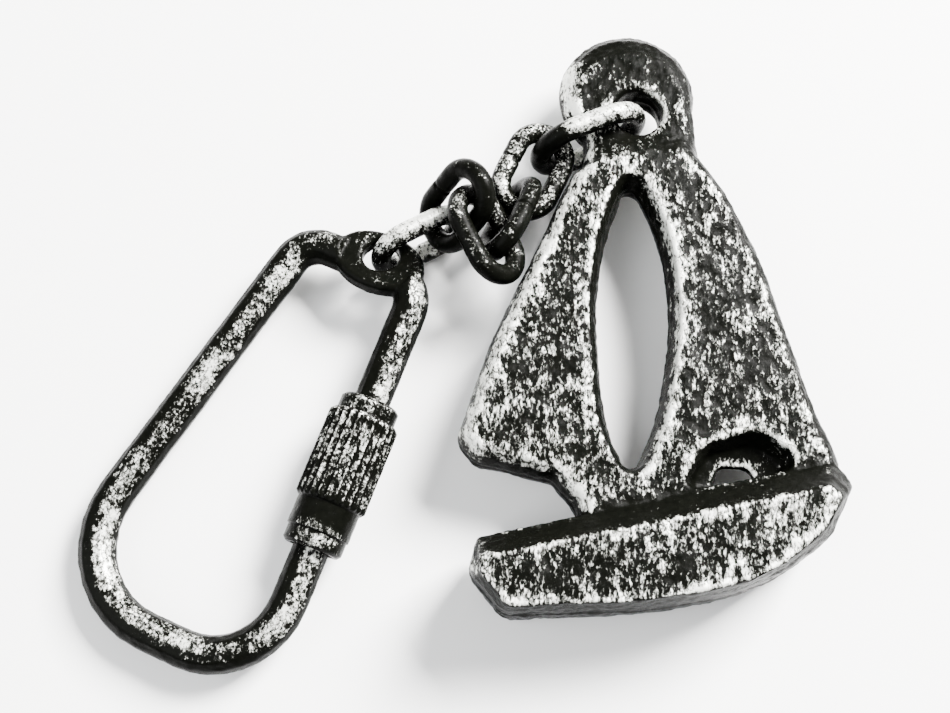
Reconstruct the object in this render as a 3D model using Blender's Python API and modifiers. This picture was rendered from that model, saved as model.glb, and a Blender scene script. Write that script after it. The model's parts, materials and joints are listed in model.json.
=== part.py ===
"""A sailboat key chain lying on a table: a cast-iron boat with an eye at its masthead, a chain of six oval
wire links, and a pear-shaped wire clip whose gate is closed by a knurled screw sleeve. Metres, +Z up."""

import math

import bmesh
import bpy
from mathutils import Matrix, Vector

MM = 0.001

# Driving dimensions of the casting. Its outlines below are measured from the axis of the eye hole.
BOAT_SCALE = 1.0
SAIL_THICKNESS = 5.4 * MM
HULL_THICKNESS = 10.0 * MM
HULL_BELT = 5.2 * MM
EYE_THICKNESS = 4.2 * MM
EYE_HOLE_DIAMETER = 4.6 * MM
EYE_ROOT_RADIUS = 6.6 * MM
EYE_FACE_RADIUS = 5.2 * MM
SAIL_EDGE_ROUND = 1.1 * MM
OPENING_FLARE = 0.8 * MM
RECESS_WEB = 0.8 * MM
RECESS_EDGE = 0.7 * MM
BOWL_SHARE = 0.65
WALL_SHARE = 0.88
NECK_STEP = 0.1 * MM
NECK_ROUND = 0.8 * MM
HOLE_CHAMFER = 0.4 * MM
CUT_PAST = 1.0 * MM

# Chain
LINK_WIRE = 2.0 * MM
LINK_LENGTH = 10.4 * MM
LINK_INSIDE_WIDTH = 3.0 * MM
FIRST_LINK_WIRE = 2.1 * MM
FIRST_LINK_LENGTH = 12.3 * MM
FIRST_LINK_SIDE_GAP = 0.4 * MM
EYE_WIRE_OFFSET = 0.1 * MM
FIRST_LINK_HEADING = 202.5

# Clip
CLIP_WIRE = 3.5 * MM
CLIP_HEADING = -25.7
CLIP_TOP_BEND = 3.0 * MM
CLIP_FOOT_BEND = 9.5 * MM
GATE_OPENING = 6.0 * MM
TAB_THICKNESS = 1.8 * MM
TAB_LENGTH = 9.2 * MM
TAB_WIDTH = 6.4 * MM
TAB_TWIST = 15.0
TAB_DROP = 0.5 * MM
TAB_HOLE_DIAMETER = 3.5 * MM
TAB_CHAMFER = 0.3 * MM
FLATTEN_LENGTH_INSIDE = 6.6 * MM
FLATTEN_LENGTH_OUTSIDE = 10.6 * MM
FLATTEN_WIDTH_INSIDE = 10.4 * MM
FLATTEN_WIDTH_OUTSIDE = 12.4 * MM

# Lock sleeve
SLEEVE_LENGTH = 14.5 * MM
SLEEVE_GRIP_DIAMETER = 6.7 * MM
SLEEVE_GRIP_LENGTH = 8.6 * MM
SLEEVE_COLLAR_DIAMETER = 5.6 * MM
SLEEVE_COLLAR_LENGTH = 1.6 * MM
SLEEVE_BAND_DIAMETER = 5.9 * MM
SLEEVE_BORE_CLEARANCE = 0.3 * MM
SLEEVE_FOOT_OVERLAP = 3.0 * MM
SLEEVE_DISTANCE = 19.5 * MM
SLEEVE_CHAMFER = 0.3 * MM

# Corners of the casting's outlines, in millimetres: x, y, radius of the rounded corner
SAILS = [
    (-2.5, -2.9, 1.5),
    (-6.6, -6.4, 3.0),
    (-11.6, -17.3, 200.0),
    (-14.2, -22.6, 200.0),
    (-17.6, -32.6, 1.6),
    (-16.0, -34.7, 1.6),
    (-9.0, -36.4, 1.6),
    (-6.8, -39.2, 2.0),
    (-7.2, -43.0, 1.5),
    (13.5, -40.0, 1.5),
    (16.9, -35.4, 1.6),
    (14.4, -28.2, 200.0),
    (11.2, -15.2, 200.0),
    (7.6, -7.2, 200.0),
    (4.6, -2.9, 1.5),
]
ALMOND = [
    (-1.0, -6.4, 0.8),
    (-3.9, -13.4, 200.0),
    (-4.8, -22.0, 200.0),
    (-4.2, -31.4, 200.0),
    (-1.9, -36.6, 0.9),
    (0.8, -30.6, 200.0),
    (2.6, -21.0, 200.0),
    (1.6, -12.4, 200.0),
]
NECK = [
    (-5.0, -2.2, 1.0),
    (-5.6, -6.0, 1.0),
    (5.8, -4.6, 1.0),
    (5.3, 2.2, 1.5),
]
ARCH_MOUTH = [
    (1.8, -37.8, 0.8),
    (4.4, -33.5, 2.4),
    (9.6, -31.9, 3.0),
    (13.7, -35.4, 1.0),
]
ARCH_HOLE = [
    (5.0, -37.2, 0.5),
    (6.0, -34.9, 0.8),
    (8.6, -35.1, 0.8),
    (9.4, -36.3, 0.5),
]
HULL_MIDDLE = [
    (-15.7, -41.7, 0.7),
    (-16.5, -44.6, 1.5),
    (-13.5, -48.2, 1.8),
    (0.0, -47.8, 200.0),
    (9.3, -45.8, 40.0),
    (14.9, -41.9, 6.0),
    (17.4, -37.2, 0.8),
    (15.9, -35.0, 0.7),
]
HULL_FACE = [
    (-15.7, -43.8, 0.5),
    (-15.4, -45.2, 0.8),
    (-13.1, -48.0, 1.0),
    (0.0, -47.5, 200.0),
    (8.8, -45.5, 40.0),
    (13.8, -41.7, 5.0),
    (15.8, -38.6, 0.6),
    (14.7, -37.7, 0.5),
]
EYE_ROOT_CENTRE = (-0.9, 2.5)
EYE_FACE_CENTRE = (-0.8, 1.2)

# How each link after the first hangs on the one before it, in degrees: the swing about that one's end wire,
# and its own roll
LINK_HANGS = [
    (42.0, -15.0),
    (-18.5, -13.5),
    (122.5, 7.0),
    (-102.0, 7.0),
    (58.0, 8.0),
]

# Corners of the clip's wire, in millimetres from its tab hole: x, y
CLIP_SHOULDER = (-7.6, -1.2)
CLIP_HEEL = (-13.5, -40.6)
CLIP_TOE = (7.9, -39.9)
CLIP_GATE_TOP = (4.6, -0.9)

# Fineness of the faceted curves
ROUND_STEPS = 4
CLIP_BEND_STEPS = 9
LINK_END_STEPS = 8
CIRCLE_STEPS = 40
SLEEVE_STEPS = 32
SMOOTH_ANGLE = 40.0
REST_ROUNDS = 4
WELD = 0.01 * MM


def reset():
    """Clears the scene and makes the two collections."""
    for obj in list(bpy.data.objects):
        bpy.data.objects.remove(obj, do_unlink=True)
    parts = bpy.data.collections.new("sailboat_keychain")
    cutters = bpy.data.collections.new("cutters")
    for collection in (parts, cutters):
        bpy.context.scene.collection.children.link(collection)
    return parts, cutters


def material(name, colour, roughness, metallic):
    made = bpy.data.materials.new(name)
    made.use_nodes = True
    shader = made.node_tree.nodes["Principled BSDF"]
    shader.inputs["Base Color"].default_value = (*colour, 1.0)
    shader.inputs["Roughness"].default_value = roughness
    shader.inputs["Metallic"].default_value = metallic
    return made


def rounded(corners, closed=True, steps=ROUND_STEPS):
    """The outline through these (x, y, radius) corners, with each corner replaced by an arc."""
    points = []
    count = len(corners)
    for i, (x, y, radius) in enumerate(corners):
        here = Vector((x, y))
        if not closed and i in (0, count - 1):
            points.append(here)
            continue
        before = Vector(corners[i - 1][:2]) - here
        after = Vector(corners[(i + 1) % count][:2]) - here
        half = before.angle(after) / 2
        longest = 0.48 * min(before.length, after.length) * math.tan(half)
        radius = min(radius, longest)
        inward = (before.normalized() + after.normalized()).normalized()
        centre = here + inward * radius / math.sin(half)
        first = here + before.normalized() * radius / math.tan(half) - centre
        last = here + after.normalized() * radius / math.tan(half) - centre
        turn = first.angle_signed(last)
        for step in range(steps + 1):
            arm = first.copy()
            arm.rotate(Matrix.Rotation(-turn * step / steps, 2))
            points.append(centre + arm)
    return points


def scaled(points, factor):
    return [point * factor for point in points]


def grown(points, amount):
    """The outline moved outwards by this amount, or inwards if it is negative."""
    area = sum(a.cross(b) for a, b in zip(points, points[1:] + points[:1]))
    side = 1.0 if area > 0 else -1.0
    moved = []
    for before, here, after in zip(points[-1:] + points, points, points[1:] + points[:1]):
        along = (after - before).normalized()
        moved.append(here + Vector((along.y, -along.x)) * amount * side)
    return moved


def circle(centre, radius, steps=CIRCLE_STEPS):
    turns = [2 * math.pi * i / steps for i in range(steps)]
    return [Vector(centre) + radius * Vector((math.cos(t), math.sin(t))) for t in turns]


def finished(bm, name, collection, look=None):
    """Turns the faces outwards and links the mesh as an object of this name."""
    bmesh.ops.recalc_face_normals(bm, faces=bm.faces)
    mesh = bpy.data.meshes.new(name)
    bm.to_mesh(mesh)
    bm.free()
    mesh.shade_smooth()
    mesh.set_sharp_from_angle(angle=math.radians(SMOOTH_ANGLE))
    obj = bpy.data.objects.new(name, mesh)
    collection.objects.link(obj)
    if look:
        mesh.materials.append(look)
    return obj


def loft(name, sections, collection, look=None):
    """A closed solid through outlines of equal counts, each (points, height)."""
    bm = bmesh.new()
    rings = [[bm.verts.new((*point, height)) for point in points] for points, height in sections]
    for lower, upper in zip(rings, rings[1:]):
        for a, b, c, d in zip(lower, lower[1:] + lower[:1], upper[1:] + upper[:1], upper):
            bm.faces.new((a, b, c, d))
    bm.faces.new(rings[0][::-1])
    bm.faces.new(rings[-1])
    return finished(bm, name, collection, look)


def both_ways(sections):
    """The same sections below the middle plane, then these above it."""
    return [(points, -height) for points, height in reversed(sections)] + sections


def boolean(obj, operation, other):
    """Adds or takes away the other solid, which moves with this one from now on."""
    other.hide_render = True
    other.display_type = "WIRE"
    other.parent = obj
    modifier = obj.modifiers.new(operation.lower() + "_" + other.name, "BOOLEAN")
    modifier.operation = operation
    modifier.solver = "EXACT"
    modifier.object = other


def tube(name, points, diameter, closed, sides_level, collection, look=None):
    """A round wire along these points, as a mesh with welded ends."""
    curve = bpy.data.curves.new(name + "_path", "CURVE")
    curve.dimensions = "3D"
    curve.bevel_depth = diameter / 2
    curve.bevel_resolution = sides_level
    curve.use_fill_caps = True
    spline = curve.splines.new("POLY")
    spline.points.add(len(points) - 1)
    for place, point in zip(spline.points, points):
        place.co = (*point, 1.0)
    spline.use_cyclic_u = closed
    path = bpy.data.objects.new(name + "_path", curve)
    collection.objects.link(path)
    graph = bpy.context.evaluated_depsgraph_get()
    bm = bmesh.new()
    mesh = bpy.data.meshes.new_from_object(path.evaluated_get(graph))
    bm.from_mesh(mesh)
    bpy.data.meshes.remove(mesh)
    bpy.data.objects.remove(path, do_unlink=True)
    bpy.data.curves.remove(curve)
    bmesh.ops.remove_doubles(bm, verts=bm.verts, dist=WELD)
    return finished(bm, name, collection, look)


def turned(name, profile, collection, look):
    """A ring turned about Z from (radius, height) points that run round its closed section."""
    mesh = bpy.data.meshes.new(name)
    count = len(profile)
    edges = [(i, (i + 1) % count) for i in range(count)]
    mesh.from_pydata([(radius, 0.0, height) for radius, height in profile], edges, [])
    mesh.materials.append(look)
    obj = bpy.data.objects.new(name, mesh)
    collection.objects.link(obj)
    screw = obj.modifiers.new("turn", "SCREW")
    screw.axis = "Z"
    screw.angle = math.radians(360)
    screw.steps = SLEEVE_STEPS
    screw.render_steps = SLEEVE_STEPS
    screw.use_merge_vertices = True
    screw.merge_threshold = WELD
    screw.use_smooth_shade = False
    return obj


def sails(collection, look):
    outline = scaled(rounded(SAILS), MM * BOAT_SCALE)
    half = SAIL_THICKNESS / 2
    edge = min(SAIL_EDGE_ROUND, 0.8 * half)
    sections = [
        (outline, half - 1.6 * edge),
        (grown(outline, -0.35 * edge), half - 0.6 * edge),
        (grown(outline, -edge), half),
    ]
    return loft("sailboat", both_ways(sections), collection, look)


def hull(cutters):
    middle = scaled(rounded(HULL_MIDDLE), MM * BOAT_SCALE)
    face = scaled(rounded(HULL_FACE), MM * BOAT_SCALE)
    sections = [(middle, HULL_BELT / 2), (face, HULL_THICKNESS / 2)]
    return loft("hull", both_ways(sections), cutters)


def eye(cutters):
    root = circle(scaled([Vector(EYE_ROOT_CENTRE)], MM * BOAT_SCALE)[0], EYE_ROOT_RADIUS)
    face = circle(scaled([Vector(EYE_FACE_CENTRE)], MM * BOAT_SCALE)[0], EYE_FACE_RADIUS)
    between = [a.lerp(b, 0.35) for a, b in zip(root, face)]
    half = EYE_THICKNESS / 2
    sections = [(root, 0.3 * half), (between, 0.75 * half), (face, half)]
    return loft("eye", both_ways(sections), cutters)


def neck(cutters):
    """What joins the eye to the sails, as thin as the eye."""
    outline = scaled(rounded(NECK), MM * BOAT_SCALE)
    half = EYE_THICKNESS / 2 - NECK_STEP
    sections = [(outline, half - NECK_ROUND), (grown(outline, -NECK_ROUND), half)]
    return loft("neck", both_ways(sections), cutters)


def flared_cutter(name, outline, cutters):
    """A hole through the sails, wider at both faces than in the middle."""
    half = SAIL_THICKNESS / 2
    past = half + CUT_PAST
    wide = grown(outline, OPENING_FLARE)
    sections = [
        (outline, 0.2 * half),
        (grown(outline, 0.4 * OPENING_FLARE), 0.7 * half),
        (wide, half),
        (wide, past),
    ]
    return loft(name, both_ways(sections), cutters)


def recess_cutter(name, mouth, hole, cutters):
    """A recess in each face of the sails, with a small hole where the two meet."""
    half = SAIL_THICKNESS / 2
    bowl = [a.lerp(b, BOWL_SHARE) for a, b in zip(hole, mouth)]
    wall = [a.lerp(b, WALL_SHARE) for a, b in zip(hole, mouth)]
    sections = [
        (hole, RECESS_WEB / 2),
        (bowl, RECESS_WEB),
        (wall, half - RECESS_EDGE),
        (mouth, half),
        (mouth, half + CUT_PAST),
    ]
    return loft(name, both_ways(sections), cutters)


def chamfered_cutter(name, diameter, thickness, chamfer, cutters):
    """A round hole through this thickness, with a chamfer at both of its mouths."""
    half = thickness / 2
    bore = circle((0.0, 0.0), diameter / 2)
    mouth = circle((0.0, 0.0), diameter / 2 + chamfer)
    sections = [(bore, half - chamfer), (mouth, half), (mouth, half + CUT_PAST)]
    return loft(name, both_ways(sections), cutters)


def sailboat(parts, cutters, look):
    boat = sails(parts, look)
    boolean(boat, "UNION", hull(cutters))
    boolean(boat, "UNION", eye(cutters))
    boolean(boat, "UNION", neck(cutters))
    almond = scaled(rounded(ALMOND), MM * BOAT_SCALE)
    boolean(boat, "DIFFERENCE", flared_cutter("almond_cut", almond, cutters))
    mouth, hole = [scaled(rounded(corners), MM * BOAT_SCALE) for corners in (ARCH_MOUTH, ARCH_HOLE)]
    boolean(boat, "DIFFERENCE", recess_cutter("arch_cut", mouth, hole, cutters))
    boolean(boat, "DIFFERENCE", chamfered_cutter("eye_cut", EYE_HOLE_DIAMETER, EYE_THICKNESS, HOLE_CHAMFER, cutters))
    return boat


def link_points(length, width):
    """The centre line of an oval link: its near end bends round the origin and it runs along +X."""
    radius = width / 2
    straight = length - width
    arcs = [(Vector((0.0, 0.0, 0.0)), 0.5), (Vector((straight, 0.0, 0.0)), 1.5)]
    points = []
    for centre, start in arcs:
        for step in range(LINK_END_STEPS + 1):
            turn = math.pi * (start + step / LINK_END_STEPS)
            points.append(centre + radius * Vector((math.cos(turn), math.sin(turn), 0.0)))
    return points


def links(parts, root, look):
    """The chain, each link on the one before it. Returns the place of the last link's far end."""
    first_width = EYE_THICKNESS + 2 * FIRST_LINK_SIDE_GAP + FIRST_LINK_WIRE
    first_length = FIRST_LINK_LENGTH - FIRST_LINK_WIRE
    width = LINK_INSIDE_WIDTH + LINK_WIRE
    length = LINK_LENGTH - LINK_WIRE
    place = (
        Matrix.Translation((0.0, 0.0, HULL_THICKNESS / 2))
        @ Matrix.Rotation(math.radians(FIRST_LINK_HEADING), 4, "Z")
        @ Matrix.Translation((EYE_WIRE_OFFSET + first_width / 2, 0.0, 0.0))
        @ Matrix.Rotation(math.radians(90), 4, "X")
    )
    points = link_points(first_length, first_width)
    first = tube("chain_link_1", points, FIRST_LINK_WIRE, True, 2, parts, look)
    first.parent = root
    first.matrix_basis = place
    reach = first_length - first_width / 2
    for number, (swing, roll) in enumerate(LINK_HANGS, start=2):
        place = (
            place
            @ Matrix.Translation((reach, 0.0, 0.0))
            @ Matrix.Rotation(math.radians(swing), 4, "Y")
            @ Matrix.Rotation(math.radians(roll - 90), 4, "X")
        )
        link = tube(f"chain_link_{number}", link_points(length, width), LINK_WIRE, True, 2, parts, look)
        link.parent = root
        link.matrix_basis = place
        reach = length - width / 2
    return place @ Vector((reach, 0.0, 0.0))


def clip_corners():
    """The clip's wire corners in metres, and the gate's direction from its top to its toe."""
    shoulder, heel, toe, gate_top = [
        Vector(corner) * MM for corner in (CLIP_SHOULDER, CLIP_HEEL, CLIP_TOE, CLIP_GATE_TOP)
    ]
    return shoulder, heel, toe, gate_top, (toe - gate_top).normalized()


def oval(length, width, centre):
    return [Vector((p.x * length / 2, p.y * width / 2)) + centre for p in circle((0.0, 0.0), 1.0)]


def tab_tools(cutters, shoulder, gate_top):
    """The flat tab, the two tools that take the wire away over and under it, and its hole."""
    half = TAB_THICKNESS / 2
    past = CLIP_WIRE
    middle = Vector((0.0, -TAB_DROP))
    tab = oval(TAB_LENGTH, TAB_WIDTH, middle)
    edge = 0.4 * half
    sections = [(tab, half - edge), (grown(tab, -edge), half)]
    solid = loft("tab", both_ways(sections), cutters)
    inner = oval(FLATTEN_LENGTH_INSIDE, FLATTEN_WIDTH_INSIDE, middle)
    outer = oval(FLATTEN_LENGTH_OUTSIDE, FLATTEN_WIDTH_OUTSIDE, middle)
    over = loft("flatten_over", [(inner, half - edge), (outer, past)], cutters)
    under = loft("flatten_under", [(outer, -past), (inner, edge - half)], cutters)
    hole = chamfered_cutter("tab_hole", TAB_HOLE_DIAMETER, TAB_THICKNESS, TAB_CHAMFER, cutters)
    across = (gate_top - shoulder).normalized()
    turn = Matrix.Rotation(math.atan2(across.y, across.x), 4, "Z")
    turn = turn @ Matrix.Rotation(math.radians(-TAB_TWIST), 4, "X")
    return solid, over, under, hole, turn


def clip_path():
    """The centre line of the clip's wire, from the foot of the gate opening round to its top."""
    shoulder, heel, toe, gate_top, down = clip_corners()
    stub_end = gate_top + down * (SLEEVE_DISTANCE + SLEEVE_LENGTH / 2 - SLEEVE_FOOT_OVERLAP)
    gate_end = stub_end - down * GATE_OPENING
    corners = [
        (*stub_end, 0.0),
        (*toe, CLIP_FOOT_BEND),
        (*heel, CLIP_FOOT_BEND),
        (*shoulder, CLIP_TOP_BEND),
        (*gate_top, CLIP_TOP_BEND),
        (*gate_end, 0.0),
    ]
    return rounded(corners, closed=False, steps=CLIP_BEND_STEPS)


def clip_ring(parts, cutters, look):
    shoulder, _, _, gate_top, _ = clip_corners()
    path = [Vector((*point, 0.0)) for point in clip_path()]
    ring = tube("clip_ring", path, CLIP_WIRE, False, 4, parts, look)
    solid, over, under, hole, turn = tab_tools(cutters, shoulder, gate_top)
    for operation, tool in (
        ("DIFFERENCE", over),
        ("DIFFERENCE", under),
        ("UNION", solid),
        ("DIFFERENCE", hole),
    ):
        tool.matrix_basis = turn
        boolean(ring, operation, tool)
    return ring


def lock_sleeve(parts, look):
    """The sleeve about its own Z, with its foot towards -Z."""
    bore = CLIP_WIRE / 2 + SLEEVE_BORE_CLEARANCE
    top = SLEEVE_LENGTH / 2
    grip_top = top - SLEEVE_COLLAR_LENGTH
    grip_foot = grip_top - SLEEVE_GRIP_LENGTH
    band_foot = -top + SLEEVE_COLLAR_LENGTH
    collar = SLEEVE_COLLAR_DIAMETER / 2
    grip = SLEEVE_GRIP_DIAMETER / 2
    band = SLEEVE_BAND_DIAMETER / 2
    profile = [
        (bore, top),
        (collar - SLEEVE_CHAMFER, top),
        (collar, top - SLEEVE_CHAMFER),
        (collar, grip_top),
        (grip - SLEEVE_CHAMFER, grip_top),
        (grip, grip_top - SLEEVE_CHAMFER),
        (grip, grip_foot + SLEEVE_CHAMFER),
        (grip - SLEEVE_CHAMFER, grip_foot),
        (band, grip_foot),
        (band, band_foot),
        (collar, band_foot),
        (collar, -top + SLEEVE_CHAMFER),
        (collar - SLEEVE_CHAMFER, -top),
        (bore, -top),
    ]
    return turned("lock_sleeve", profile, parts, look)


def clip_place(hole):
    """Where the clip lies: its tab hole here, its lowest bend and the sleeve's grip on the table."""
    _, heel, _, gate_top, down = clip_corners()
    grip_rest = gate_top + down * (SLEEVE_DISTANCE + SLEEVE_GRIP_LENGTH / 2)
    heel_drop = CLIP_WIRE / 2 - hole.z
    grip_drop = SLEEVE_GRIP_DIAMETER / 2 - hole.z
    heel_rest = heel
    for _ in range(REST_ROUNDS):
        slope = Matrix((heel_rest, grip_rest)).inverted() @ Vector((heel_drop, grip_drop))
        heel_rest = min(clip_path(), key=slope.dot)
    tilt = Vector((0.0, 0.0, 1.0)).rotation_difference(Vector((-slope.x, -slope.y, 1.0)))
    heading = Matrix.Rotation(math.radians(CLIP_HEADING), 4, "Z")
    return Matrix.Translation(hole) @ heading @ tilt.to_matrix().to_4x4()


def clip(parts, cutters, root, place, wire, knurl):
    ring = clip_ring(parts, cutters, wire)
    ring.parent = root
    ring.matrix_basis = place
    _, _, _, gate_top, down = clip_corners()
    centre = gate_top + down * SLEEVE_DISTANCE
    sleeve = lock_sleeve(parts, knurl)
    sleeve.parent = root
    gate_turn = Vector((-down.x, -down.y, 0.0)).to_track_quat("Z", "Y").to_matrix().to_4x4()
    sleeve.matrix_basis = place @ Matrix.Translation((*centre, 0.0)) @ gate_turn


def stand_on_floor(parts, root):
    """Moves the whole object so that the middle of its box is over the origin and its lowest point at Z 0."""
    bpy.context.view_layer.update()
    graph = bpy.context.evaluated_depsgraph_get()
    points = []
    for obj in parts.objects:
        if obj.type == "MESH":
            solid = obj.evaluated_get(graph)
            points += [solid.matrix_world @ vertex.co for vertex in solid.data.vertices]
    low = Vector([min(point[axis] for point in points) for axis in range(3)])
    high = Vector([max(point[axis] for point in points) for axis in range(3)])
    root.location = -Vector(((low.x + high.x) / 2, (low.y + high.y) / 2, low.z))


def main():
    parts, cutters = reset()
    iron = material("cast_iron", (0.10, 0.10, 0.10), 0.45, 0.8)
    wire = material("link_wire", (0.16, 0.16, 0.17), 0.35, 0.9)
    ring = material("clip_wire", (0.14, 0.14, 0.14), 0.35, 0.9)
    knurl = material("knurled_sleeve", (0.2, 0.2, 0.2), 0.4, 0.9)
    root = bpy.data.objects.new("keychain", None)
    parts.objects.link(root)
    boat = sailboat(parts, cutters, iron)
    boat.parent = root
    boat.location.z = HULL_THICKNESS / 2
    hole = links(parts, root, wire)
    clip(parts, cutters, root, clip_place(hole), ring, knurl)
    stand_on_floor(parts, root)


main()
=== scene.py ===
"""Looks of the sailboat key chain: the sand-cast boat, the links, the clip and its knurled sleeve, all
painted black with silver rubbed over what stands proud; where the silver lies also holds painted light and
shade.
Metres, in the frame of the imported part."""
import json
import math

import bmesh
import bpy
import numpy as np
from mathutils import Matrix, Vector, noise


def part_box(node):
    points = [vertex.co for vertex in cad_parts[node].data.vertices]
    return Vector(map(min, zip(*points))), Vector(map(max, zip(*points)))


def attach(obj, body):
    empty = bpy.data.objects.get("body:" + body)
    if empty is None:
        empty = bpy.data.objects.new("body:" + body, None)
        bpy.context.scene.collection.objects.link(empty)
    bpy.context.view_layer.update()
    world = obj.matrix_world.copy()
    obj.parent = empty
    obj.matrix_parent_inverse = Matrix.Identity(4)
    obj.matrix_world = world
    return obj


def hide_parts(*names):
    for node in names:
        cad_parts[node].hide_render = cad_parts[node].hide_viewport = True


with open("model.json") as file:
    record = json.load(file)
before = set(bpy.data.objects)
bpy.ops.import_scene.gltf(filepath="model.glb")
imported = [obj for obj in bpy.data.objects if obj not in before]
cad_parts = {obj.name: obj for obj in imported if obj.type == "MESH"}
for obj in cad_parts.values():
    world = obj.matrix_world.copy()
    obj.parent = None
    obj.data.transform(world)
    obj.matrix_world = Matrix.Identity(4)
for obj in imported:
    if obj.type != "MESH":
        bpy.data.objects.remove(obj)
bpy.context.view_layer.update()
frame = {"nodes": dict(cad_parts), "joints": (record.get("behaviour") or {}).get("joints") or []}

MM = 0.001
LINKS = [f"chain_link_{number}" for number in range(1, 7)]

# Fineness of the surfaces
CAST_VOXEL = 0.2 * MM
CLIP_VOXEL = 0.17 * MM

# Camera, placed from the eye of the casting
EYE_FROM_STERN = 17.4 * MM
EYE_FROM_TOP = 9.1 * MM
AIM_FROM_EYE = (-15.9 * MM, -22.8 * MM)
CAMERA_ELEVATION = 72.0
CAMERA_DISTANCE = 123.2 * MM
CAMERA_WIDTH_ANGLE = 41.0
CAMERA_SENSOR_MM = 36.0
CAMERA_CLIP_START = 0.001

# Stage and light
SKY_STRENGTH = 0.75
FLOOR_HALF_SIDE = 3.0
FLOOR_DROP = 0.02 * MM
FLOOR_GREY = 0.93
FLOOR_ROUGHNESS = 0.9

# Paint: three sizes of noise make its height, and silver lies where height and the per-point attribute of
# rubbed wear and painted light and shade together pass an edge
SPECK_WEIGHT = 1.5
CLUMP_WEIGHT = 0.65
PATCH_WEIGHT = 0.3
FINE_WEIGHT = 0.35
HALF_COVER_EDGE = 1.225
EDGE_PER_COVER = 0.6
EDGE_BELOW = 0.05
EDGE_ABOVE = 0.20
SILVER_POWER = 2.1
SILVER_METALLIC = 0.55
SILVER_ROUGHNESS = 0.42
BLACK_ROUGHNESS = 0.24
PAINT_SPECULAR = 0.02
SILVER_TONES = ((0.50, 0.51, 0.47, 1.0), (0.88, 0.89, 0.84, 1.0))
BLACK_TONES = ((0.0006, 0.0007, 0.0005, 1.0), (0.0024, 0.0026, 0.0019, 1.0))

# Casting
PARTING_HEIGHT = 5.0 * MM
PARTING_HALF_WIDTH = 0.28 * MM
NECK_BELOW_EYE = 3.6 * MM
NECK_HALF_LENGTH = 1.9 * MM
BALL_RADIUS = 6.6 * MM

# Clip
TAB_REACH = 5.2 * MM

# Links: how much silver each one has, from the casting to the clip
LINK_SHINE = [0.26, 0.04, -0.1, -0.04, -0.12, 0.24]
LINK_STEPS = 200
LINK_SIDES = 28
LINK_SLIMMER = 0.985
SEAM_DEPTH = 0.16 * MM
SEAM_HALF_WIDTH = 0.12 * MM
FIRST_LINK_DARK_FROM = 7.2 * MM

# Sleeve
SLEEVE_FLUTES = 26
STEPS_PER_FLUTE = 10
FLUTE_DEPTH = 0.22 * MM
SLEEVE_HALF_LENGTH = 7.25 * MM
SLEEVE_BORE_RADIUS = 2.05 * MM
SLEEVE_COLLAR_RADIUS = 2.8 * MM
SLEEVE_GRIP_RADIUS = 3.35 * MM
SLEEVE_BAND_RADIUS = 2.95 * MM
SLEEVE_COLLAR_LENGTH = 1.6 * MM
SLEEVE_GRIP_LENGTH = 8.6 * MM
SLEEVE_EASE = 0.3 * MM
SLEEVE_PROFILE_STEP = 0.16 * MM
SLEEVE_RELAX_ROUNDS = 6


# ---------------------------------------------------------------- stage, light and camera


def eye_of_casting():
    low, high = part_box("sailboat")
    return Vector((low[0] + EYE_FROM_STERN, high[1] - EYE_FROM_TOP, 0.0))


def add_camera():
    eye = eye_of_casting()
    aim = Vector((eye.x + AIM_FROM_EYE[0], eye.y + AIM_FROM_EYE[1], 0.0))
    elevation = math.radians(CAMERA_ELEVATION)
    forward = Vector((0.0, math.cos(elevation), -math.sin(elevation)))
    data = bpy.data.cameras.new("camera")
    data.sensor_width = CAMERA_SENSOR_MM
    data.angle = math.radians(CAMERA_WIDTH_ANGLE)
    data.clip_start = CAMERA_CLIP_START
    camera = bpy.data.objects.new("camera", data)
    bpy.context.scene.collection.objects.link(camera)
    camera.location = aim - forward * CAMERA_DISTANCE
    camera.rotation_euler = forward.to_track_quat("-Z", "Y").to_euler()
    bpy.context.scene.camera = camera


def add_area(name, place, size, watts, colour):
    """A square light that points at the origin."""
    data = bpy.data.lights.new(name, "AREA")
    data.shape = "SQUARE"
    data.size = size
    data.energy = watts
    data.color = colour
    light = bpy.data.objects.new(name, data)
    bpy.context.scene.collection.objects.link(light)
    light.location = place
    light.rotation_euler = (-Vector(place)).to_track_quat("-Z", "Y").to_euler()


def add_sky():
    world = bpy.data.worlds.new("studio")
    bpy.context.scene.world = world
    world.use_nodes = True
    background = world.node_tree.nodes["Background"]
    background.inputs["Color"].default_value = (1.0, 1.0, 1.0, 1.0)
    background.inputs["Strength"].default_value = SKY_STRENGTH


def add_floor():
    mesh = bpy.data.meshes.new("floor")
    side = FLOOR_HALF_SIDE
    corners = [(-side, -side, 0), (side, -side, 0), (side, side, 0), (-side, side, 0)]
    mesh.from_pydata(corners, [], [(0, 1, 2, 3)])
    floor = bpy.data.objects.new("floor", mesh)
    bpy.context.scene.collection.objects.link(floor)
    floor.location.z = -FLOOR_DROP
    look = bpy.data.materials.new("floor_paper")
    look.use_nodes = True
    shader = look.node_tree.nodes["Principled BSDF"]
    shader.inputs["Base Color"].default_value = (FLOOR_GREY, FLOOR_GREY, FLOOR_GREY, 1.0)
    shader.inputs["Roughness"].default_value = FLOOR_ROUGHNESS
    mesh.materials.append(look)


def add_studio():
    add_sky()
    add_area("key", place=(0.28, 0.23, 0.31), size=0.2, watts=28.0, colour=(1.0, 0.99, 0.97))
    add_area("fill", place=(-0.26, -0.10, 0.26), size=0.3, watts=2.0, colour=(0.97, 0.99, 1.0))
    add_floor()


# ---------------------------------------------------------------- mesh tools


def read_points(mesh):
    flat = np.empty(len(mesh.vertices) * 3)
    mesh.vertices.foreach_get("co", flat)
    return flat.reshape(-1, 3)


def write_points(mesh, points):
    mesh.vertices.foreach_set("co", points.ravel())
    mesh.update()


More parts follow.
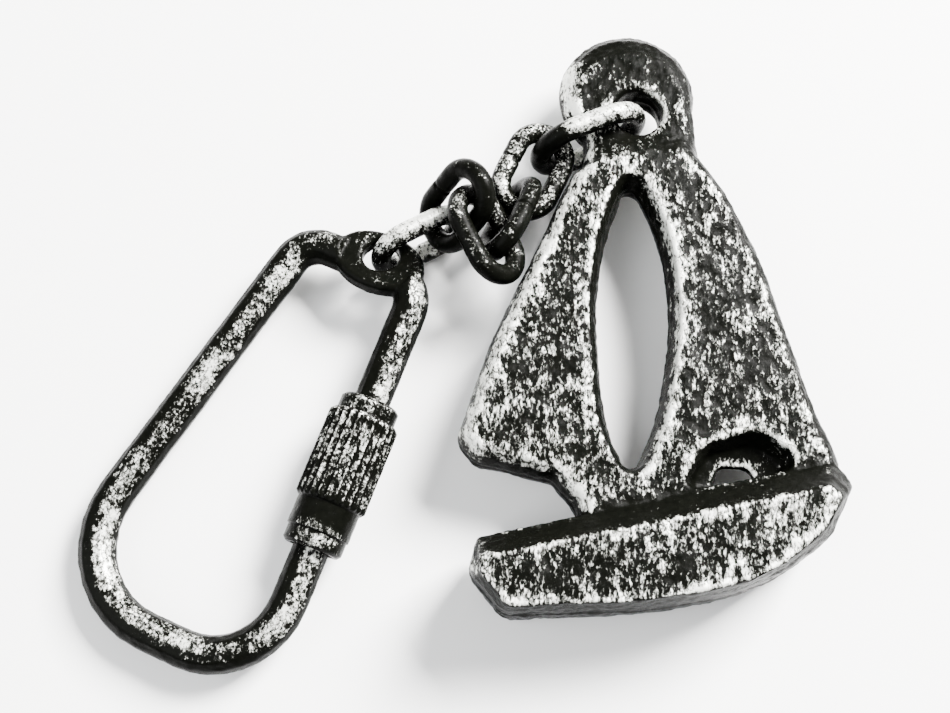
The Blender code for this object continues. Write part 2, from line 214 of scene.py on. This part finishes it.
def read_edges(mesh):
    flat = np.empty(len(mesh.edges) * 2, dtype=np.int32)
    mesh.edges.foreach_get("vertices", flat)
    return flat.reshape(-1, 2)


def read_normals(mesh):
    flat = np.empty(len(mesh.vertices) * 3)
    mesh.vertex_normals.foreach_get("vector", flat)
    return flat.reshape(-1, 3)


def clamped(values):
    return np.clip(values, 0.0, 1.0)


def mean_of_neighbours(values, pairs):
    count = np.bincount(pairs.ravel(), minlength=len(values)).astype(float)
    total = np.zeros_like(values)
    for axis in range(values.shape[1]):
        total[:, axis] = np.bincount(pairs[:, 0], values[pairs[:, 1], axis], len(values))
        total[:, axis] += np.bincount(pairs[:, 1], values[pairs[:, 0], axis], len(values))
    return total / count[:, None]


def relaxed(values, pairs, rounds, share=0.5):
    for _ in range(rounds):
        values = values + share * (mean_of_neighbours(values, pairs) - values)
    return values


def kept_relaxed(values, pairs, rounds):
    """Relaxed without shrinking."""
    for _ in range(rounds):
        values = relaxed(values, pairs, 1, 0.5)
        values = relaxed(values, pairs, 1, -0.52)
    return values


def rounds_for(reach, voxel):
    """How many rounds of relaxing reach this far on a mesh of this fineness."""
    return round((reach / voxel) ** 2 * 2)


def convexity(points, pairs, normals, rounds):
    """How far each point stands out from its relaxed surroundings, in metres."""
    return np.einsum("ij,ij->i", points - relaxed(points, pairs, rounds), normals)


def lumps(points, size, octaves, seed):
    """Fractal noise at these points, from about -1 to 1, with features of this size."""
    shift = Vector((seed * 7.31, seed * 3.17, seed * 1.93))
    scale = 1.0 / size
    return np.array([noise.fractal(Vector(point) * scale + shift, 0.9, 2.0, octaves) for point in points])


def add_attribute(mesh, name, values):
    attribute = mesh.attributes.new(name, "FLOAT", "POINT")
    attribute.data.foreach_set("value", np.ascontiguousarray(values, dtype=np.float32))


def remeshed_copy(name, node, voxel):
    """A new object with the node's solid as an even, dense mesh."""
    mesh = frame["nodes"][node].data.copy()
    obj = bpy.data.objects.new(name, mesh)
    bpy.context.scene.collection.objects.link(obj)
    modifier = obj.modifiers.new("even", "REMESH")
    modifier.mode = "VOXEL"
    modifier.voxel_size = voxel
    graph = bpy.context.evaluated_depsgraph_get()
    dense = bpy.data.meshes.new_from_object(obj.evaluated_get(graph))
    obj.modifiers.clear()
    obj.data = dense
    bpy.data.meshes.remove(mesh)
    dense.materials.clear()
    dense.name = name
    return obj


def closed_grid(name, points, rings, sides):
    """A new object with a closed mesh over rings of points, the last ring joined to the first."""
    faces = []
    for ring in range(rings):
        here = ring * sides
        after = (ring + 1) % rings * sides
        for side in range(sides):
            beside = (side + 1) % sides
            faces.append((here + side, here + beside, after + beside, after + side))
    mesh = bpy.data.meshes.new(name)
    mesh.from_pydata(np.reshape(points, (-1, 3)).tolist(), [], faces)
    bm = bmesh.new()
    bm.from_mesh(mesh)
    bmesh.ops.recalc_face_normals(bm, faces=bm.faces)
    bm.to_mesh(mesh)
    bm.free()
    obj = bpy.data.objects.new(name, mesh)
    bpy.context.scene.collection.objects.link(obj)
    return obj


def finish_piece(obj, node, body, look):
    obj.data.materials.clear()
    obj.data.materials.append(look)
    obj.data.shade_smooth()
    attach(obj, body)
    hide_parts(node)


# ---------------------------------------------------------------- paint


class Nodes:
    """Short ways to add shader nodes to a material."""

    def __init__(self, name):
        self.material = bpy.data.materials.new(name)
        self.material.use_nodes = True
        self.tree = self.material.node_tree
        self.shader = self.tree.nodes["Principled BSDF"]

    def add(self, kind, inputs=None, **settings):
        node = self.tree.nodes.new(kind)
        for key, value in settings.items():
            setattr(node, key, value)
        for key, value in (inputs or {}).items():
            self.put(node, key, value)
        return node

    def put(self, node, key, value):
        """Link a socket to this input, or set the input's value."""
        if isinstance(value, bpy.types.NodeSocket):
            self.tree.links.new(value, node.inputs[key])
        else:
            node.inputs[key].default_value = value

    def math(self, operation, first, second):
        return self.add("ShaderNodeMath", {0: first, 1: second}, operation=operation).outputs[0]

    def times(self, value, factor):
        return self.math("MULTIPLY", value, factor)

    def noise(self, place, size, detail, roughness, distortion=0.0):
        inputs = {
            "Vector": place,
            "Scale": 1.0 / size,
            "Detail": detail,
            "Roughness": roughness,
            "Distortion": distortion,
        }
        return self.add("ShaderNodeTexNoise", inputs).outputs["Fac"]

    def ramp(self, value, low, high, to_low=0.0, to_high=1.0):
        inputs = {"Value": value, "From Min": low, "From Max": high, "To Min": to_low, "To Max": to_high}
        return self.add("ShaderNodeMapRange", inputs).outputs["Result"]

    def mix(self, factor, first, second):
        node = self.add("ShaderNodeMix", data_type="RGBA")
        for index, value in ((0, factor), (6, first), (7, second)):
            self.put(node, index, value)
        return node.outputs[2]


def rubbed_paint(name, fleck, streak, cover, grain_depth):
    """Black paint with silver rubbed over it: fleck is the size of its specks, streak how far they are drawn
    out along Y, cover how much of a plain face they cover."""
    kit = Nodes(name)
    place = kit.add("ShaderNodeTexCoord").outputs["Object"]
    stretch = (1.0, 1.0 / streak, 1.0)
    drawn = kit.add("ShaderNodeMapping", {"Vector": place, "Scale": stretch}).outputs["Vector"]
    specks = kit.noise(drawn, fleck, 6.0, 0.72, 0.35)
    clumps = kit.noise(drawn, fleck * 2.8, 2.0, 0.5)
    patches = kit.noise(place, fleck * 14.0, 2.0, 0.5)
    tone = kit.noise(place, fleck * 2.2, 3.0, 0.6)
    fine = kit.noise(place, fleck * 0.5, 4.0, 0.65)
    # Per-point silver from each piece: rubbed wear together with painted light and shade.
    rub_and_light = kit.add("ShaderNodeAttribute", attribute_name="rub_and_light").outputs["Fac"]

    height = kit.math("ADD", kit.times(specks, SPECK_WEIGHT), kit.times(clumps, CLUMP_WEIGHT))
    height = kit.math("ADD", height, kit.times(patches, PATCH_WEIGHT))
    level = kit.math("ADD", height, rub_and_light)
    edge = HALF_COVER_EDGE + (0.5 - cover) * EDGE_PER_COVER
    silver = kit.math("POWER", kit.ramp(level, edge - EDGE_BELOW, edge + EDGE_ABOVE), SILVER_POWER)

    colour = kit.mix(silver, kit.mix(tone, *BLACK_TONES), kit.mix(tone, *SILVER_TONES))
    relief = kit.math("ADD", height, kit.times(fine, FINE_WEIGHT))
    bump = kit.add("ShaderNodeBump", {"Height": relief, "Strength": 1.0, "Distance": grain_depth})
    kit.put(kit.shader, "Base Color", colour)
    kit.put(kit.shader, "Metallic", kit.ramp(silver, 0.0, 1.0, 0.0, SILVER_METALLIC))
    kit.put(kit.shader, "Roughness", kit.ramp(silver, 0.0, 1.0, BLACK_ROUGHNESS, SILVER_ROUGHNESS))
    kit.put(kit.shader, "Specular IOR Level", PAINT_SPECULAR)
    kit.put(kit.shader, "Normal", bump.outputs["Normal"])
    return kit.material


# ---------------------------------------------------------------- casting


def cast_surface(mesh, pairs, eye):
    """Rounds the casting off, most of all at its neck, roughens it like sand and adds its parting line. Gives
    the rounded points, their normals and the lumps that the paint follows."""
    points = kept_relaxed(read_points(mesh), pairs, 2 * rounds_for(0.42 * MM, CAST_VOXEL))
    neck = np.exp(-(((points[:, 1] - eye.y + NECK_BELOW_EYE) / NECK_HALF_LENGTH) ** 2))[:, None]
    softer = relaxed(points, pairs, rounds_for(1.3 * MM, CAST_VOXEL))
    points = points + neck * (softer - points)
    write_points(mesh, points)
    normals = read_normals(mesh)
    swell = lumps(points, 4.5 * MM, 2, 1)
    knobs = lumps(points, 1.5 * MM, 2, 2)
    grit = lumps(points, 0.6 * MM, 3, 3)
    middle = np.exp(-(((points[:, 2] - PARTING_HEIGHT) / PARTING_HALF_WIDTH) ** 2))
    wall = clamped(1.0 - np.abs(normals[:, 2]) * 2.0)
    lift = 0.10 * MM * swell + 0.07 * MM * knobs + 0.06 * MM * grit + 0.12 * MM * middle * wall
    raised = points + normals * (lift - 0.03 * MM)[:, None]
    raised[:, 2] = np.maximum(raised[:, 2], 0.0)
    write_points(mesh, raised)
    return points, normals, knobs, grit


def cast_wear_and_light(points, pairs, normals, knobs, grit, eye):
    """How much silver each point of the casting takes. Rubbed wear puts most on edges and lumps, and more on
    what faces up or down than on walls, where the lack of silver is also painted shade. Painted light on
    sides that face the stern and on the stern side of the eye; painted shade on sides facing +X and +Y, on
    walls facing -Y under the hull and the sails, and on the crown of the eye. A little less over the ball of
    the eye, more toward the right of the hull, a little less toward the right of the sails."""
    edge = convexity(points, pairs, normals, rounds_for(1.1 * MM, CAST_VOXEL))
    facing = np.abs(normals[:, 2])
    slope = 1.0 - facing
    rub_and_light = 1.5 * np.clip(edge / MM, -0.15, 0.13) + 0.06 * knobs + 0.05 * grit - 0.04
    # Less silver on walls than on faces: partly rubbed wear, partly painted shade on the walls.
    rub_and_light -= 0.31 * slope
    # Painted shade on sides facing +X and +Y, painted light on sides facing the stern (-X).
    rub_and_light -= 0.3 * clamped(normals[:, 0]) + 0.22 * clamped(normals[:, 1])
    rub_and_light += 0.32 * clamped(-normals[:, 0]) * clamped(1.3 * facing + 0.2)
    from_eye = points - np.array((eye.x - 0.6 * MM, eye.y + 0.6 * MM, PARTING_HEIGHT))
    reach = np.hypot(from_eye[:, 0], from_eye[:, 1])
    ball = clamped((BALL_RADIUS - reach) / (1.5 * MM)) + clamped((from_eye[:, 1] - 3.0 * MM) / MM)
    crown = clamped((from_eye[:, 1] - 4.2 * MM) / (1.6 * MM))
    hull = from_eye[:, 1] < -40.0 * MM
    sails = from_eye[:, 1] > -34.0 * MM
    # Less silver over the ball of the eye, and painted shade on its crown.
    rub_and_light -= 0.12 * clamped(ball) + 0.16 * crown
    # Painted shade on walls facing -Y, under the hull and the feet of the sails.
    rub_and_light -= 0.2 * clamped(-normals[:, 1]) * slope
    rub_and_light += 0.05 * np.clip(from_eye[:, 0] / (14.0 * MM), -1.0, 1.0) * hull
    rub_and_light -= 0.02 * clamped(from_eye[:, 0] / (8.0 * MM)) * sails
    # Painted light on the stern side of the eye.
    rub_and_light += 0.16 * clamped(ball) * clamped(-normals[:, 0] * 1.6)
    return rub_and_light


def boat_casting():
    obj = remeshed_copy("boat_casting", "sailboat", CAST_VOXEL)
    mesh = obj.data
    pairs = read_edges(mesh)
    eye = eye_of_casting()
    points, normals, knobs, grit = cast_surface(mesh, pairs, eye)
    add_attribute(mesh, "rub_and_light", cast_wear_and_light(points, pairs, normals, knobs, grit, eye))
    look = rubbed_paint("rubbed_cast_iron", fleck=0.26 * MM, streak=2.0, cover=0.44, grain_depth=0.03 * MM)
    finish_piece(obj, "sailboat", "boat", look)


# ---------------------------------------------------------------- clip


def clip_wire():
    obj = remeshed_copy("clip_wire", "clip_ring", CLIP_VOXEL)
    mesh = obj.data
    pairs = read_edges(mesh)
    points = kept_relaxed(read_points(mesh), pairs, 2 * rounds_for(0.25 * MM, CLIP_VOXEL))
    write_points(mesh, points)
    normals = read_normals(mesh)
    swell = lumps(points, 4.0 * MM, 2, 11)
    grit = lumps(points, 0.7 * MM, 3, 12)
    write_points(mesh, points + normals * (0.035 * MM * swell + 0.03 * MM * grit)[:, None])
    # Painted highlight: more silver on the side of the wire that faces up and toward +X, where the light
    # falls, on top of the wear that rubbing leaves on what faces up.
    lit_facing = normals[:, 2] + 0.62 * normals[:, 0] + 0.2 * normals[:, 1]
    facing = np.maximum(lit_facing, 0.3 * normals[:, 0] - normals[:, 2])
    rub_and_light = np.minimum(0.95 * (facing - 0.97), 0.24) + 0.14 * swell + 0.05 * grit
    hole = np.array(next(joint["pos_m"] for joint in frame["joints"] if joint["child"] == "clip"))
    tab = clamped((TAB_REACH - np.linalg.norm(points - hole, axis=1)) / (1.2 * MM))
    add_attribute(mesh, "rub_and_light", rub_and_light - 0.22 * tab)
    look = rubbed_paint("rubbed_clip_wire", fleck=0.24 * MM, streak=1.3, cover=0.42, grain_depth=0.02 * MM)
    finish_piece(obj, "clip_ring", "clip", look)


# ---------------------------------------------------------------- chain


def link_frame(node):
    """Centre, the long, short and flat axes, and the three sizes of a link's solid."""
    points = read_points(frame["nodes"][node].data)
    centre = points.mean(axis=0)
    _, _, axes = np.linalg.svd(points - centre, full_matrices=False)
    local = (points - centre) @ axes.T
    middle = (local.min(axis=0) + local.max(axis=0)) / 2
    sizes = local.max(axis=0) - local.min(axis=0)
    return centre + middle @ axes, axes, sizes


def oval_place(along, straight, width):
    """The place at this distance round an oval of two straight sides and two half circles."""
    radius = width / 2
    half_turn = math.pi * width / 2
    if along < straight:
        return along - straight / 2, radius
    if along < straight + half_turn:
        turn = (along - straight) / radius
        return straight / 2 + radius * math.sin(turn), radius * math.cos(turn)
    if along < 2 * straight + half_turn:
        return straight / 2 - (along - straight - half_turn), -radius
    turn = (along - 2 * straight - half_turn) / radius
    return -straight / 2 - radius * math.sin(turn), -radius * math.cos(turn)


def swept_ring(name, centres, flat_axis, radii):
    """A closed wire round these centre points, with a radius for each."""
    ahead = np.roll(centres, -1, axis=0) - np.roll(centres, 1, axis=0)
    ahead /= np.linalg.norm(ahead, axis=1)[:, None]
    out = np.cross(ahead, flat_axis)
    out /= np.linalg.norm(out, axis=1)[:, None]
    turns = 2 * np.pi * np.arange(LINK_SIDES) / LINK_SIDES
    spokes = out[:, None, :] * np.cos(turns)[None, :, None]
    spokes = spokes + flat_axis[None, None, :] * np.sin(turns)[None, :, None]
    points = centres[:, None, :] + spokes * radii[:, None, None]
    return closed_grid(name, points, len(centres), LINK_SIDES)


def link_wire(node, number, look):
    centre, axes, sizes = link_frame(node)
    wire = sizes[2]
    width = sizes[1] - wire
    straight = sizes[0] - sizes[1]
    length = 2 * straight + math.pi * width
    seam = straight / 2
    centres, radii = [], []
    for step in range(LINK_STEPS):
        along = length * step / LINK_STEPS
        place = oval_place(along, straight, width)
        centres.append(centre + axes[0] * place[0] + axes[1] * place[1])
        groove = SEAM_DEPTH * math.exp(-(((along - seam) / SEAM_HALF_WIDTH) ** 2))
        radii.append(wire / 2 * LINK_SLIMMER - groove)
    obj = swept_ring(f"link_wire_{number}", np.array(centres), axes[2], np.array(radii))
    mesh = obj.data
    points = read_points(mesh)
    normals = read_normals(mesh)
    swell = lumps(points, 2.5 * MM, 2, 20 + number)
    grit = lumps(points, 0.6 * MM, 3, 30 + number)
    write_points(mesh, points + normals * (0.03 * MM * swell + 0.025 * MM * grit - 0.01 * MM)[:, None])
    facing = np.abs(normals[:, 2]) + 0.2 * normals[:, 1]
    rub_and_light = 0.4 * (facing - 1.0) + 0.05 * swell + 0.04 * grit + LINK_SHINE[number - 1]
    if number == 1:
        eye = eye_of_casting()
        reach = np.hypot(points[:, 0] - eye.x, points[:, 1] - eye.y)
        rub_and_light -= 0.45 * clamped((reach - FIRST_LINK_DARK_FROM) / (1.6 * MM))
    add_attribute(mesh, "rub_and_light", rub_and_light)
    finish_piece(obj, node, f"link_{number}", look)


def add_chain():
    look = rubbed_paint("rubbed_link_wire", fleck=0.24 * MM, streak=1.0, cover=0.42, grain_depth=0.02 * MM)
    for number, node in enumerate(LINKS, start=1):
        link_wire(node, number, look)


# ---------------------------------------------------------------- sleeve


def sleeve_profile():
    """(height, radius, flute share) round the sleeve's closed section, from its top inner rim outwards."""
    bore, collar = SLEEVE_BORE_RADIUS, SLEEVE_COLLAR_RADIUS
    grip, band = SLEEVE_GRIP_RADIUS, SLEEVE_BAND_RADIUS
    top, ease = SLEEVE_HALF_LENGTH, SLEEVE_EASE
    grip_top = top - SLEEVE_COLLAR_LENGTH
    grip_foot = grip_top - SLEEVE_GRIP_LENGTH
    band_foot = -top + SLEEVE_COLLAR_LENGTH
    corners = [
        (top, bore, 0),
        (top, collar - ease, 0),
        (top - ease, collar, 0),
        (grip_top, collar, 0),
        (grip_top, grip - ease, 0),
        (grip_top - ease, grip, 1),
        (grip_foot + ease, grip, 1),
        (grip_foot, grip - ease, 0),
        (grip_foot, band, 0),
        (band_foot, band, 0),
        (band_foot, collar, 0),
        (-top + ease, collar, 0),
        (-top, collar - ease, 0),
        (-top, bore, 0),
    ]
    points = []
    for (h0, r0, f0), (h1, r1, f1) in zip(corners, corners[1:] + corners[:1]):
        pieces = max(1, round(math.hypot(h1 - h0, r1 - r0) / SLEEVE_PROFILE_STEP))
        for step in range(pieces):
            share = step / pieces
            points.append((h0 + (h1 - h0) * share, r0 + (r1 - r0) * share, f0 + (f1 - f0) * share))
    return points


def sleeve_axes():
    """Centre of the sleeve's solid, its axis, and two directions across it."""
    solid = read_points(frame["nodes"]["lock_sleeve"].data)
    joint = next(joint for joint in frame["joints"] if joint["child"] == "sleeve")
    axis = np.array(joint["axis"], dtype=float)
    axis /= np.linalg.norm(axis)
    mean = solid.mean(axis=0)
    along = (solid - mean) @ axis
    centre = mean + axis * (along.min() + along.max()) / 2
    side = np.cross(axis, (0.0, 0.0, 1.0))
    side /= np.linalg.norm(side)
    return centre, axis, side, np.cross(side, axis)


def sleeve_knurled():
    centre, axis, side, up = sleeve_axes()
    profile = sleeve_profile()
    turns = SLEEVE_FLUTES * STEPS_PER_FLUTE
    points = []
    for step in range(turns):
        turn = 2 * math.pi * step / turns
        ridge = 0.5 - 0.5 * math.cos(turn * SLEEVE_FLUTES)
        valley = FLUTE_DEPTH * (1.0 - ridge) ** 0.8
        for height, radius, flute in profile:
            spoke = (side * math.cos(turn) + up * math.sin(turn)) * (radius - valley * flute)
            points.append(centre + axis * height + spoke)
    obj = closed_grid("sleeve_knurled", points, turns, len(profile))
    mesh = obj.data
    places = read_points(mesh)
    normals = read_normals(mesh)
    edge = convexity(places, read_edges(mesh), normals, SLEEVE_RELAX_ROUNDS)
    grit = lumps(places, 0.7 * MM, 3, 41)
    write_points(mesh, places + normals * (0.025 * MM * grit - 0.01 * MM)[:, None])
    facing = np.abs(normals[:, 2]) + 0.2 * normals[:, 0]
    height = (places - centre) @ axis
    band = clamped((-2.2 * MM - height) / (0.6 * MM)) * clamped((height + 5.2 * MM) / (0.6 * MM))
    rub_and_light = 0.35 * (facing - 0.95) + 2.5 * np.clip(edge / MM, -0.08, 0.08) + 0.05 * grit - 0.3 * band
    add_attribute(mesh, "rub_and_light", rub_and_light)
    look = rubbed_paint("rubbed_sleeve", fleck=0.24 * MM, streak=1.3, cover=0.42, grain_depth=0.02 * MM)
    finish_piece(obj, "lock_sleeve", "sleeve", look)


add_camera()
add_studio()
boat_casting()
clip_wire()
add_chain()
sleeve_knurled()
